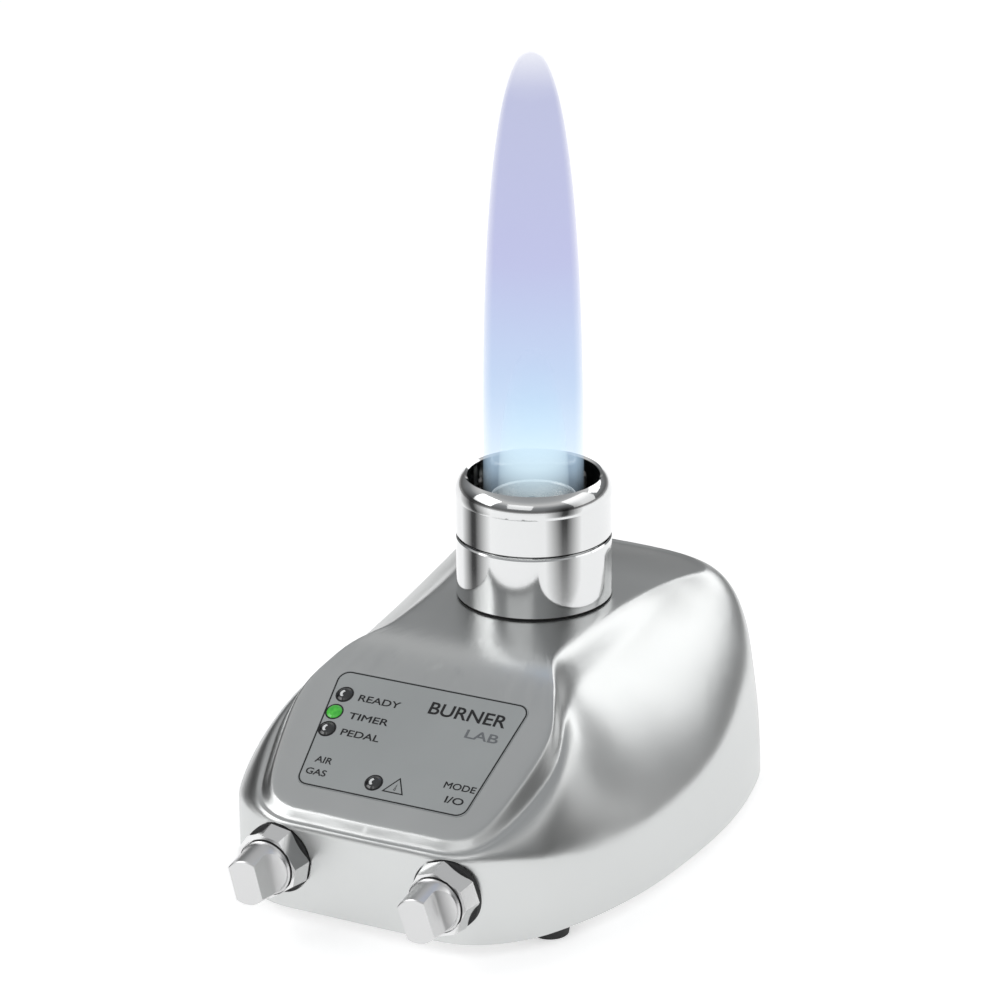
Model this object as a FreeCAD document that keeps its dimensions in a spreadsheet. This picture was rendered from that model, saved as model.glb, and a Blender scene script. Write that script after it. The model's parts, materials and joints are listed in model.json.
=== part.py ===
import FreeCAD, Part
import math
import os

import Sketcher
from FreeCAD import Placement, Rotation, Vector

# Desktop safety gas burner: a stainless housing with a sloping panel, a burner head on top and two
# coaxial knobs in front. Millimetres, +Z up, +Y towards the rear. The origin is on the table, under the
# middle of the outer box.

doc = FreeCAD.newDocument("gas_burner")

# ---------------------------------------------------------------- driving dimensions
DIMENSIONS = [
    ("burner_y", 18.0),            # burner axis, from the origin
    ("deck_height", 50.4),         # flat top of the housing
    ("rim_height", 3.2),           # lower edge of the housing
    ("wall", 1.2),                 # housing sheet
    ("front_y", -66.4),            # front wall, at the knobs
    ("ring_radius", 18.0),         # outside of the burner rings
    ("ring_bore", 15.3),           # mouth of the burner head
    ("gasket_base", 50),
    ("gasket_top", 51),
    ("ring_floor", 53.2),          # top of the base ring's floor
    ("ring_joint", 65.2),          # joint between base ring and burner head
    ("ring_gap", 0.4),
    ("ring_top", 79.9),
    ("lip_height", 5.1),           # height of the rounded lip
    ("tube_radius", 10.0),         # mixing tube, outside
    ("tube_wall", 0.8),
    ("tube_base", 14.0),
    ("tube_top", 74.6),
    ("running_gap", 0.06),
    ("port_height", 21.0),         # air ports of the mixing tube
    ("port_radius", 2.5),
    ("knob_offset", 20.9),         # each knob from the middle plane
    ("knob_height", 14.9),
    ("spindle_radius", 2.0),
    ("sleeve_radius", 4.0),        # outer spindle tube
    ("seal_radius", 8.0),
    ("seal_depth", 0.6),           # how far the seal is let into the wall
    ("collar_base", 0.9),
    ("collar_front", 5.6),
    ("collar_radius", 8.3),        # corner of the faceted collar, at the wall
    ("grip_reach", 14.5),          # wall to the knob's end face
    ("flange_radius", 6.3),
    ("panel_y", -44.75),           # middle of the panel label
    ("panel_drop", 12.97),         # from the deck down to the middle of the label
    ("panel_slope", 30.0),         # degrees
    ("label_top", 24.1),           # half width of the label at its upper edge
    ("label_foot", 20.9),
    ("label_reach", 15.9),         # middle of the label to its upper and lower edges
    ("label_corner", 2.6),
    ("label_seat", 0.15),          # how deep the label lies in the housing
    ("label_thick", 0.25),
    ("lamp_radius", 1.75),
    ("plate_bottom", 3.6),
    ("plate_thick", 1.6),
    ("foot_radius", 4.7),
    ("foot_x", 35.4),
    ("front_foot_y", -46),
    ("rear_foot_y", 41.0),
    ("connector_y", 61.8),         # outer face of the rear connector plate
    ("connector_z", 16.2),
    ("connector_thick", 1.5),
    ("inlet_x", -10.0),
    ("inlet_end_y", 80.9),
    ("hose_radius", 4.5),
    ("power_x", 5.0),
    ("pedal_x", 14.5),
    ("solenoid_x", -27.0),
    ("solenoid_y", 29),
]

sheet = doc.addObject("Spreadsheet::Sheet", "Dims")
for row, (alias, value) in enumerate(DIMENSIONS, 1):
    sheet.set(f"A{row}", alias)
    sheet.set(f"B{row}", str(value))
    sheet.setAlias(f"B{row}", alias)
doc.recompute()
ALIASES = {alias for alias, _ in DIMENSIONS}


# ---------------------------------------------------------------- helpers
UPRIGHT = Rotation()
FRONTWARD = Rotation(Vector(1, 0, 0), 90)      # local +Z points to -Y, local +Y stays up
REARWARD = Rotation(Vector(1, 0, 0), -90)      # local +Z points to +Y
EXPORTS = []


def dim(alias):
    return float(sheet.get(alias))


def full(expression):
    """Put the sheet's name in front of every alias of an expression."""
    spaced = str(expression).replace("(", " ( ").replace(")", " ) ")
    return " ".join(f"Dims.{word}" if word in ALIASES else word for word in spaced.split())


def value_of(expression):
    answer = sheet.evalExpression(full(expression))
    return float(getattr(answer, "Value", answer))


def bind(thing, path, expression):
    thing.setExpression(path, full(expression))


def place(thing, at, rotation=UPRIGHT):
    """Put an object at a point given as three expressions."""
    thing.Placement = Placement(Vector(), rotation)
    for axis, expression in zip("xyz", at):
        bind(thing, f"Placement.Base.{axis}", expression)
    return thing


def publish(thing, label):
    thing.Label = label
    EXPORTS.append(thing)
    return thing


def new_body(label):
    return publish(doc.addObject("PartDesign::Body", label), label)


def new_sketch(body, name, plane="XY_Plane", lift=None, offset=None):
    """Sketch on one of the body's own origin planes, lifted along its normal or moved by a placement."""
    sketch = body.newObject("Sketcher::SketchObject", name)
    origin_plane = next(f for f in body.Origin.OriginFeatures if f.Role == plane)
    sketch.AttachmentSupport = [(origin_plane, "")]
    sketch.MapMode = "FlatFace"
    if offset is not None:
        sketch.AttachmentOffset = offset
    if lift is not None:
        bind(sketch, "AttachmentOffset.Base.z", lift)
    return sketch


def pin_point(sketch, geometry, vertex, x, y):
    """Fix a sketch point at two expressions measured from the sketch origin."""
    for kind, axis, expression in (("DistanceX", -2, x), ("DistanceY", -1, y)):
        number = value_of(expression)
        if abs(number) < 1e-9:
            sketch.addConstraint(Sketcher.Constraint("PointOnObject", geometry, vertex, axis))
        else:
            index = sketch.addConstraint(Sketcher.Constraint(kind, -1, 1, geometry, vertex, number))
            bind(sketch, f"Constraints[{index}]", expression)


def arc_through(start, middle, end):
    """Arc through three points, turning counter-clockwise as a sketch wants it."""
    circle = Part.Circle(start, middle, end)
    swapped = (middle - start).cross(end - middle).z < 0
    ends = (end, start) if swapped else (start, end)
    angles = [math.atan2(p.y - circle.Center.y, p.x - circle.Center.x) for p in ends]
    plain = Part.Circle(circle.Center, Vector(0, 0, 1), circle.Radius)
    return Part.ArcOfCircle(plain, *angles), swapped


def draw_outline(sketch, corners, bulges=None):
    """Closed outline through corners of (x, y) expressions. bulges gives, for the side that starts at
    a corner, the middle point of an arc in place of a straight line."""
    bulges = bulges or {}
    points = [Vector(value_of(x), value_of(y), 0) for x, y in corners]
    for index, start in enumerate(points):
        end = points[(index + 1) % len(points)]
        if index in bulges:
            middle = Vector(*(value_of(e) for e in bulges[index]), 0)
            arc, swapped = arc_through(start, middle, end)
            side = sketch.addGeometry(arc)
            sketch.addConstraint(Sketcher.Constraint("Radius", side, arc.Radius))
            first = 2 if swapped else 1
        else:
            side = sketch.addGeometry(Part.LineSegment(start, end))
            first = 1
        pin_point(sketch, side, first, *corners[index])
        pin_point(sketch, side, 3 - first, *corners[(index + 1) % len(points)])


def draw_circle(sketch, x, y, radius):
    centre = Vector(value_of(x), value_of(y), 0)
    circle = sketch.addGeometry(Part.Circle(centre, Vector(0, 0, 1), value_of(radius)))
    pin_point(sketch, circle, 3, x, y)
    index = sketch.addConstraint(Sketcher.Constraint("Radius", circle, value_of(radius)))
    bind(sketch, f"Constraints[{index}]", radius)


def draw_box(sketch, x0, y0, x1, y1):
    draw_outline(sketch, [(x0, y0), (x1, y0), (x1, y1), (x0, y1)])


def revolve(body, sketch, kind="Revolution"):
    feature = body.newObject(f"PartDesign::{kind}", f"{body.Label}_{kind.lower()}")
    feature.Profile = sketch
    feature.ReferenceAxis = (sketch, ["V_Axis"])
    feature.Angle = 360
    sketch.Visibility = False
    return feature


def pad(body, sketch, length, taper=None):
    feature = body.newObject("PartDesign::Pad", f"{body.Label}_pad")
    feature.Profile = sketch
    bind(feature, "Length", length)
    if taper is not None:
        feature.TaperAngle = taper
    sketch.Visibility = False
    return feature


def pocket(body, sketch, depth=None, reverse=False, both=False):
    """Cut a sketch down to a depth, or right through; the cut must take something away."""
    doc.recompute()
    before = body.Shape.Volume
    feature = body.newObject("PartDesign::Pocket", f"{body.Label}_pocket")
    feature.Profile = sketch
    if depth is None:
        feature.Type = "ThroughAll"
    else:
        bind(feature, "Length", depth)
    feature.Midplane = both
    feature.Reversed = reverse
    sketch.Visibility = False
    doc.recompute()
    if not body.Shape.Volume < before - 1e-6:
        raise RuntimeError(f"{feature.Name} cuts nothing")
    return feature


def lathe(label, corners, at, rotation=UPRIGHT, bulges=None):
    """Turned piece: a half profile of (radius, height) revolved about the local Z axis."""
    body = new_body(label)
    sketch = new_sketch(body, f"{label}_profile", "XZ_Plane")
    draw_outline(sketch, corners, bulges)
    revolve(body, sketch)
    return place(body, at, rotation)


def cylinder(name, radius, height, at, rotation=UPRIGHT):
    solid = doc.addObject("Part::Cylinder", name)
    bind(solid, "Radius", radius)
    bind(solid, "Height", height)
    return place(solid, at, rotation)


def box(name, size, at):
    solid = doc.addObject("Part::Box", name)
    for side, expression in zip(("Length", "Width", "Height"), size):
        bind(solid, side, expression)
    return place(solid, at)


def cut(label, base, tool):
    result = doc.addObject("Part::Cut", label)
    result.Base, result.Tool = base, tool
    return result


def fuse(label, *shapes):
    result = doc.addObject("Part::MultiFuse", label)
    result.Shapes = list(shapes)
    return result


def group(label, members):
    """Identical pieces that share one node, as separate solids."""
    result = doc.addObject("Part::Compound", label)
    result.Links = members
    return publish(result, label)


# ---------------------------------------------------------------- housing surface
# The wall is described by stations that run from the middle of the rear to the middle of the front.
# At each station a section climbs from a point of the lower outline, up the wall, over the shoulder,
# through the valley and up to the edge of the deck. Plan coordinates are measured from the burner axis
# and heights from the deck.
class Station:
    def __init__(self, outline, edge, shoulder, lean, valley_angle, crown, drop, valley_width):
        self.values = [*outline, *edge, shoulder, lean, valley_angle, crown, drop, valley_width]


STATIONS = [
    Station((0.0, 46.2), (0.0, 40.5), -6.0, 2.5, 5, 0.74, 0.0, 2.5),
    Station((21.0, 45.0), (17.0, 38.5), -7.0, 2.5, 6, 0.74, 0.0, 2.5),
    Station((36.4, 38.8), (27.0, 30.5), -10.5, 2.3, 14, 0.56, 0.2, 3.0),
    Station((45.4, 28.5), (25.0, 19.5), -19.5, 2.2, 28, 0.36, 1.4, 4.0),
    Station((49.6, 13.0), (22.5, 9.5), -25.0, 1.8, 32, 0.25, 3.0, 5.5),
    Station((51.5, -4.0), (21.0, -3.0), -28.5, 1.2, 31, 0.18, 4.8, 7.0),
    Station((51.1, -22.0), (20.4, -18.0), -31.5, 0.8, 30, 0.15, 6.0, 7.5),
    Station((49.0, -41.0), (21.0, -32.5), -32.5, 0.5, 29, 0.14, 6.6, 7.5),
    Station((45.2, -56.0), (26.0, -43.4), -32.0, 0.3, 27, 0.16, 6.8, 6.8),
    Station((41.2, -66.0), (30.5, -53.5), -30.3, 0.1, 24, 0.18, 7.0, 5.6),
    Station((36.6, -74.3), (29.8, -64.5), -28.8, 0.0, 16, 0.26, 6.0, 4.6),
    Station((30.0, -80.8), (26.4, -76.7), -28.2, 0.0, 8, 0.50, 3.4, 3.2),
    Station((22.0, -84.4), (20.8, -81.2), -28.2, 0.0, 0, 0.50, 2.7, 2.4),
    Station((11.0, -84.7), (10.4, -81.6), -28.2, 0.0, 0, 0.50, 2.7, 2.4),
    Station((0.0, -84.8), (0.0, -81.7), -28.2, 0.0, 0, 0.50, 2.7, 2.4),
]
MIRRORED_COLUMNS = (0, 2)          # the x values change sign across the middle plane
DECK_HOLE = 12.6                   # radius of the hole under the burner, where the sections end
BEND_RADIUS = 26.0                 # bend between deck and panel
PANEL_TOE = 40.28                  # where deck and panel would meet, in front of the burner axis
CROWN_START, CROWN_RATE = 17.0, 0.0038     # the deck falls away towards the rear
STATION_STEPS = 6                  # sections per gap between stations
WALL_STEPS, SHOULDER_STEPS, VALLEY_STEPS, DECK_STEPS = 4, 9, 7, 9
BEZIER_TAIL = 0.45                 # how long the shoulder curve runs along its end slope
NORMAL_SPAN = 4


def deck_profile(y):
    """Height of the deck and panel at a distance from the burner axis."""
    slope = math.radians(dim("panel_slope"))
    tangent = BEND_RADIUS * math.tan(slope / 2)
    bend_start = -PANEL_TOE + tangent
    bend_end = -PANEL_TOE - tangent * math.cos(slope)
    if y > bend_start:
        return -CROWN_RATE * max(0.0, y - CROWN_START) ** 2
    if y < bend_end:
        return math.tan(slope) * (y + PANEL_TOE)
    return math.sqrt(BEND_RADIUS ** 2 - (bend_start - y) ** 2) - BEND_RADIUS


def spline_rows(rows, steps):
    """Smooth rows between the stations, symmetric across the middle plane at both ends."""
    def mirror(row):
        return [-v if column in MIRRORED_COLUMNS else v for column, v in enumerate(row)]

    padded = [mirror(rows[1]), *rows, mirror(rows[-2])]
    result = []
    for index in range(1, len(padded) - 2):
        before, start, end, after = padded[index - 1:index + 3]
        for step in range(steps):
            u = step / steps
            result.append([
                0.5 * (2 * b + (c - a) * u + (2 * a - 5 * b + 4 * c - d) * u ** 2
                       + (3 * b - a - 3 * c + d) * u ** 3)
                for a, b, c, d in zip(before, start, end, after)])
    return result + [rows[-1]]


def section_points(row):
    """Points of one section, from the lower rim to the hole in the deck, in world coordinates."""
    ox, oy, ex, ey, shoulder, lean, angle, crown, drop, width = row
    outline, edge = Vector(ox, oy, 0), Vector(ex, ey, 0)
    inward = edge - outline
    reach = inward.Length
    inward.normalize()
    base = dim("rim_height") - dim("deck_height")
    edge_height = deck_profile(ey)
    valley = edge_height - max(drop, 0.0)
    lean, width = max(lean, 0.0), min(width, 0.8 * reach)
    slope = math.tan(math.radians(max(angle, 0.0)))
    run, rise = reach - width - lean, valley - shoulder
    controls = [(lean, shoulder), (lean, shoulder + crown * rise),
                (lean + run * (1 - BEZIER_TAIL), valley - run * BEZIER_TAIL * slope), (lean + run, valley)]
    points = []

    def add(distance, height):
        points.append(outline + inward * distance + Vector(0, 0, height))

    for step in range(WALL_STEPS):
        u = step / WALL_STEPS
        add(lean * u ** 2, base + (shoulder - base) * u)
    for step in range(SHOULDER_STEPS):
        u = step / SHOULDER_STEPS
        weights = ((1 - u) ** 3, 3 * u * (1 - u) ** 2, 3 * u ** 2 * (1 - u), u ** 3)
        add(*(sum(w * c[axis] for w, c in zip(weights, controls)) for axis in (0, 1)))
    for step in range(VALLEY_STEPS):
        u = step / VALLEY_STEPS
        along = reach - width + width * u
        local = deck_profile(oy + inward.y * along) - edge_height
        height = valley + max(drop, 0.0) * (3 - 2 * u) * u ** 2 + width * slope * u * (1 - u) ** 2
        add(along, height + local * u)
    hole = Vector(ex, ey, 0).normalize() * DECK_HOLE
    for step in range(DECK_STEPS + 1):
        u = step / DECK_STEPS
        point = edge * (1 - u) + hole * u
        points.append(Vector(point.x, point.y, deck_profile(point.y)))
    shift = Vector(0, dim("burner_y"), dim("deck_height"))
    return [point + shift for point in points]


def inset_grid(grid, depth):
    """Move every point of a grid of sections inwards, along a normal that is averaged over its
    neighbours so that the small rounded features of the outside do not fold over inside."""
    last_row, last_column = len(grid) - 1, len(grid[0]) - 1
    result = []
    for i, section in enumerate(grid):
        line = []
        for j, point in enumerate(section):
            if i in (0, last_row):
                along = Vector(1 if i == 0 else -1, 0, 0)
            else:
                along = grid[i + 1][j] - grid[i - 1][j]
            up = section[min(j + NORMAL_SPAN, last_column)] - section[max(j - NORMAL_SPAN, 0)]
            line.append(point + along.cross(up).normalize() * depth)
        result.append(line)
    return result


def half_surface(grid):
    """Smooth surface that follows a grid of points, which are its poles."""
    degree = 3

    def knots(count):
        spans = count - degree
        return [i / spans for i in range(spans + 1)], [degree + 1] + [1] * (spans - 1) + [degree + 1]

    (u_knots, u_mults), (v_knots, v_mults) = knots(len(grid)), knots(len(grid[0]))
    surface = Part.BSplineSurface()
    surface.buildFromPolesMultsKnots(grid, u_mults, v_mults, u_knots, v_knots, False, False, degree, degree)
    return surface


def closed_solid(grid):
    """Solid between a half grid, its mirror image, a flat floor and a flat lid."""
    mirrored = [[Vector(-p.x, p.y, p.z) for p in section] for section in grid]
    halves = [half_surface(grid), half_surface(mirrored)]
    faces = [surface.toShape() for surface in halves]
    for column in (0.0, 1.0):
        edges = [surface.vIso(surface.bounds()[2 + int(column)]).toShape() for surface in halves]
        faces.append(Part.Face(Part.Wire(Part.__sortEdges__(edges))))
    shell = Part.Shell(faces)
    shell.sewShape()
    solid = Part.Solid(Part.Shell(shell.Faces))
    if solid.Volume < 0:
        solid.reverse()
    return solid


def housing_blank():
    """Hollow sheet housing, before its openings are cut."""
    outer = [section_points(row) for row in spline_rows([s.values for s in STATIONS], STATION_STEPS)]
    inner = inset_grid(outer, dim("wall"))
    for section in inner:
        section[0] = Vector(section[0].x, section[0].y, dim("rim_height") - 1)
        section[-1].z = dim("deck_height") - dim("wall")
    blank = doc.addObject("Part::Feature", "housing_blank")
    blank.Shape = closed_solid(outer).cut(closed_solid(inner))
    return blank, outer


# ---------------------------------------------------------------- control panel frame
SLOPE = math.radians(dim("panel_slope"))
PANEL_TILT = Rotation(Vector(1, 0, 0), dim("panel_slope"))


def panel_point(x, along, above):
    """World point as expressions: x across, along up the slope, above out of the panel."""
    y = f"panel_y + {along * math.cos(SLOPE) - above * math.sin(SLOPE):.5f}"
    z = f"deck_height - panel_drop + {along * math.sin(SLOPE) + above * math.cos(SLOPE):.5f}"
    return str(x), y, z


def on_panel(thing, x, along, above):
    return place(thing, panel_point(x, along, above), PANEL_TILT)


def panel_offset(along, above):
    return Placement(Vector(*(value_of(e) for e in panel_point(0, along, above))), PANEL_TILT)


LAMPS = {                          # across and along the panel
    "status_lamp_upper": (-20.1, 9.4),
    "status_lamp_middle": (-20.4, 4.4),
    "status_lamp_lower": (-20.0, -0.4),
    "warning_lamp": (-3.0, -11.7),
}


def draw_label_outline(sketch, margin):
    """Rounded outline of the panel label, wider at its upper edge."""
    top, foot = dim("label_top") + margin, dim("label_foot") + margin
    reach, radius = dim("label_reach") + margin, dim("label_corner") + margin
    corners = [(-top, reach), (top, reach), (foot, -reach), (-foot, -reach)]
    starts, bulges = [], {}
    for index, corner in enumerate(corners):
        here = Vector(*corner, 0)
        to_last = (Vector(*corners[index - 1], 0) - here).normalize()
        to_next = (Vector(*corners[(index + 1) % 4], 0) - here).normalize()
        half_angle = to_last.getAngle(to_next) / 2
        tangent = radius / math.tan(half_angle)
        inward = (to_last + to_next).normalize()
        middle = here + inward * (radius / math.sin(half_angle) - radius)
        bulges[len(starts)] = (f"{middle.x:.5f}", f"{middle.y:.5f}")
        starts += [here + to_last * tangent, here + to_next * tangent]
    draw_outline(sketch, [(f"{p.x:.5f}", f"{p.y:.5f}") for p in starts], bulges)


# ---------------------------------------------------------------- housing
LAMP_PLAY, LABEL_PLAY = 0.05, 0.03


def make_housing():
    blank, outer = housing_blank()
    body = new_body("housing_shell")
    body.BaseFeature = blank
    doc.recompute()
    seat = new_sketch(body, "gasket_seat", lift="deck_height + 1")
    draw_circle(seat, 0, "burner_y", "ring_radius - 0.2")
    pocket(body, seat, "deck_height + 1 - gasket_base")
    hole = new_sketch(body, "deck_hole", lift="deck_height + 1")
    draw_circle(hole, 0, "burner_y", "13.3")
    pocket(body, hole, "5")
    for side in ("-1", "1"):
        seal = new_sketch(body, "seal_seat", "XZ_Plane", lift="-1 * front_y - seal_depth")
        draw_circle(seal, f"{side} * knob_offset", "knob_height", "seal_radius + 0.2")
        pocket(body, seal, "4", reverse=True)
        shaft = new_sketch(body, "spindle_hole", "XZ_Plane", lift="-1 * front_y + 2")
        draw_circle(shaft, f"{side} * knob_offset", "knob_height", "sleeve_radius + 0.4")
        pocket(body, shaft, "8")
    label = new_sketch(body, "label_seat", offset=panel_offset(0, -dim("label_seat")))
    draw_label_outline(label, LABEL_PLAY)
    pocket(body, label, "2", reverse=True)
    lamps = new_sketch(body, "lamp_holes", offset=panel_offset(0, 0))
    for x, along in LAMPS.values():
        draw_circle(lamps, x, along, f"lamp_radius + {LAMP_PLAY}")
    pocket(body, lamps, "6", both=True)
    window = new_sketch(body, "connector_window", "XZ_Plane", lift="-50")
    draw_box(window, "-20.15", "connector_z - 10.15", "20.15", "connector_z + 10.15")
    pocket(body, window, "20")
    return outer


def make_base(outer):
    """Plate that closes the underside, with a foot, a screw and a threaded boss near each corner."""
    outline = inset_grid(outer, dim("wall") + 0.2)
    for section in outline:
        section[0].z = dim("rim_height") - 1
        section[-1].z = dim("deck_height") - 2 * dim("wall")
    slab_outline = doc.addObject("Part::Feature", "base_outline")
    slab_outline.Shape = closed_solid(outline)
    slab = box("base_slab", ("110", "140", "plate_thick"), ("-55", "-70", "plate_bottom"))
    plate = doc.addObject("Part::Common", "base_blank")
    plate.Base, plate.Tool = slab_outline, slab
    corners = [(side * dim("foot_x"), dim(y)) for y in ("front_foot_y", "rear_foot_y") for side in (-1, 1)]
    holes = fuse("base_holes", *(cylinder("base_hole", "1.6", "10", (x, y, "0")) for x, y in corners))
    publish(cut("base_plate", plate, holes), "base_plate")

    bottom = "plate_bottom"
    feet, screws, bosses = [], [], []
    for x, y in corners:
        pad_blank = doc.addObject("Part::Cone", "foot_blank")
        sizes = (("Radius1", "foot_radius - 0.5"), ("Radius2", "foot_radius"), ("Height", bottom))
        for side, expression in sizes:
            bind(pad_blank, side, expression)
        place(pad_blank, (x, y, "0"))
        well = fuse("foot_well", cylinder("foot_bore", "1.6", "5", (x, y, "0")),
                    cylinder("head_well", "3.2", "plate_bottom - 1", (x, y, "0")))
        feet.append(cut("foot", pad_blank, well))
        screws.append(fuse("foot_screw", cylinder("screw_head", "2.8", "1", (x, y, f"{bottom} - 2")),
                           cylinder("screw_shank", "1.5", "8", (x, y, f"{bottom} - 1"))))
        bosses.append(cut("foot_boss", cylinder("boss_blank", "3.5", "8", (x, y, f"{bottom} + plate_thick")),
                          cylinder("boss_bore", "1.55", "7", (x, y, f"{bottom} + plate_thick"))))
    group("rubber_feet", feet)
    group("foot_screws", screws)
    group("foot_bosses", bosses)


# ---------------------------------------------------------------- panel
def make_panel():
    label = new_body("panel_label")
    outline = new_sketch(label, "label_outline")
    draw_label_outline(outline, 0)
    pad(label, outline, "label_thick")
    windows = new_sketch(label, "label_windows", lift="label_thick")
    for x, along in LAMPS.values():
        draw_circle(windows, x, along, f"lamp_radius + {LAMP_PLAY}")
    pocket(label, windows, "1")
    on_panel(label, 0, 0, -dim("label_seat"))

    leds = []
    for name, (x, along) in LAMPS.items():
        lens = lathe(name, [("0", "-1"), ("lamp_radius", "-1"), ("lamp_radius", "0.2"),
                            ("lamp_radius - 0.5", "0.45"), ("0", "0.45")], ("0", "0", "0"))
        on_panel(lens, x, along, 0)
        leds.append(on_panel(cylinder("led", "1.3", "5", ("0", "0", "0")), x, along, -6.95))
    group("indicator_leds", leds)

    board = doc.addObject("Part::Box", "circuit_board")
    for side, expression in (("Length", "46"), ("Width", "26"), ("Height", "1.6")):
        bind(board, side, expression)
    publish(on_panel(board, -23, -13.6, -8.6), "circuit_board")
    posts = [on_panel(cylinder("post", "1.5", "5.2", ("0", "0", "0")), x, along, -6.95)
             for x in (-14, 14) for along in (-8, 10)]
    group("board_posts", posts)


# ---------------------------------------------------------------- burner
PIN_RING = 12.3                    # the two pins stand this far from the burner axis
PIN_ANGLES = {"ignition_electrode": 125.0, "flame_sensor": 35.0}
AXIS = ("0", "burner_y", "0")


def make_burner():
    lathe("burner_gasket", [("13.3", "gasket_base"), ("ring_radius - 0.4", "gasket_base"),
                            ("ring_radius - 0.4", "gasket_top"), ("13.3", "gasket_top")], AXIS)
    base = lathe("burner_base_ring", [
        ("tube_radius + 0.05", "gasket_top"), ("ring_radius", "gasket_top"),
        ("ring_radius", "ring_joint - 0.3"), ("ring_radius - 0.3", "ring_joint"),
        ("ring_radius - 1.2", "ring_joint"), ("ring_radius - 1.2", "ring_joint + 2"),
        ("ring_bore", "ring_joint + 2"), ("ring_bore", "ring_floor"),
        ("tube_radius + 0.05", "ring_floor")], AXIS)
    pins = new_sketch(base, "pin_holes", lift="ring_floor")
    for angle in PIN_ANGLES.values():
        draw_circle(pins, PIN_RING * math.cos(math.radians(angle)),
                    PIN_RING * math.sin(math.radians(angle)), "1.85")
    pocket(base, pins, "5")
    lathe("burner_head", [
        ("ring_radius - 1.2 + running_gap", "ring_joint + ring_gap"),
        ("ring_radius - 0.4", "ring_joint + ring_gap"), ("ring_radius", "ring_joint + ring_gap + 0.5"),
        ("ring_radius", "ring_top - lip_height"), ("ring_bore + 0.6", "ring_top"),
        ("ring_bore", "ring_top - 0.4"), ("ring_bore", "ring_joint + 2.03"),
        ("ring_radius - 1.2 + running_gap", "ring_joint + 2.03")], AXIS,
        bulges={3: ("ring_radius - 0.75", "ring_top - 1.35")})
    for name, angle in PIN_ANGLES.items():
        x = f"{PIN_RING * math.cos(math.radians(angle)):.4f}"
        y = f"burner_y + {PIN_RING * math.sin(math.radians(angle)):.4f}"
        insulator = {"ignition_electrode": "electrode_insulator", "flame_sensor": "sensor_insulator"}[name]
        lathe(insulator, [("0.85", "gasket_top + 0.1"), ("1.8", "gasket_top + 0.1"), ("1.8", "64"),
                          ("1.3", "65"), ("0.85", "65")], (x, y, "0"))
        lathe(name, [("0", "44"), ("0.8", "44"), ("0.8", "70.4"), ("0.3", "71.2"), ("0", "71.2")],
              (x, y, "0"))

    tube = lathe("mixing_tube", [
        ("tube_radius - tube_wall", "tube_base"), ("tube_radius", "tube_base"),
        ("tube_radius", "tube_top - 0.3"),
        ("tube_radius - 0.3", "tube_top"), ("tube_radius - tube_wall + 0.2", "tube_top"),
        ("tube_radius - tube_wall", "tube_top - 0.4")], AXIS)
    shutter = lathe("air_shutter", [
        ("tube_radius + running_gap", "17"), ("tube_radius + 1.2", "17"), ("tube_radius + 1.2", "25.5"),
        ("tube_radius + running_gap", "25.5")], AXIS)
    for body in (tube, shutter):
        for plane in ("XZ_Plane", "YZ_Plane"):
            ports = new_sketch(body, "air_ports", plane)
            draw_circle(ports, 0, "port_height", "port_radius")
            pocket(body, ports, both=True)

    grid = lathe("flame_grid", [("0", "70"), ("tube_radius - tube_wall - 0.02", "70"),
                                ("tube_radius - tube_wall - 0.02", "71.5"), ("0", "71.5")], AXIS)
    holes = new_sketch(grid, "grid_holes", lift="71.5")
    draw_circle(holes, 0, 0, "0.9")
    for count, ring in ((6, 3.0), (12, 6.0)):
        for index in range(count):
            angle = 2 * math.pi * index / count
            draw_circle(holes, ring * math.cos(angle), ring * math.sin(angle), "0.9")
    pocket(grid, holes, "3")

    base = "plate_bottom + plate_thick"
    jet = [("0.5", base), ("6", base), ("6", "12"), ("tube_radius", "12"), ("tube_radius", "tube_base"),
           ("3", "tube_base"), ("3", "18.5"), ("1.5", "20"), ("0.5", "20")]
    lathe("gas_jet", jet, AXIS)


# ---------------------------------------------------------------- knobs and spindles
GRIP_TWIST = {"gas": 14.0, "switch": 18.0}
COLLAR_TWIST = {"gas": -10.0, "switch": 19.0}
WIDE_FACET, NARROW_FACET = 56.0, 34.0      # degrees of the collar's alternating facets


def at_knob(body, side, twist=0.0):
    turn = FRONTWARD.multiply(Rotation(Vector(0, 0, 1), twist))
    return place(body, (f"{side} * knob_offset", "front_y", "knob_height"), turn)


def make_collar(label, side, twist):
    """Faceted outer ring with a counterbore that takes the knob's flange."""
    body = new_body(label)
    facets = new_sketch(body, "facets", lift="collar_base")
    angles, angle = [], -NARROW_FACET / 2
    for _ in range(4):
        angles += [angle, angle + NARROW_FACET]
        angle += NARROW_FACET + WIDE_FACET
    draw_outline(facets, [(f"collar_radius * {math.cos(math.radians(a)):.5f}",
                           f"collar_radius * {math.sin(math.radians(a)):.5f}") for a in angles])
    pad(body, facets, "collar_front - collar_base", taper=-9.0)
    counterbore = new_sketch(body, "counterbore", lift="collar_front")
    draw_circle(counterbore, 0, 0, "flange_radius + 0.3")
    pocket(body, counterbore, "2.6")
    bore = new_sketch(body, "bore", lift="collar_front")
    draw_circle(bore, 0, 0, "sleeve_radius")
    pocket(body, bore, "10")
    at_knob(body, side, twist)


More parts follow.
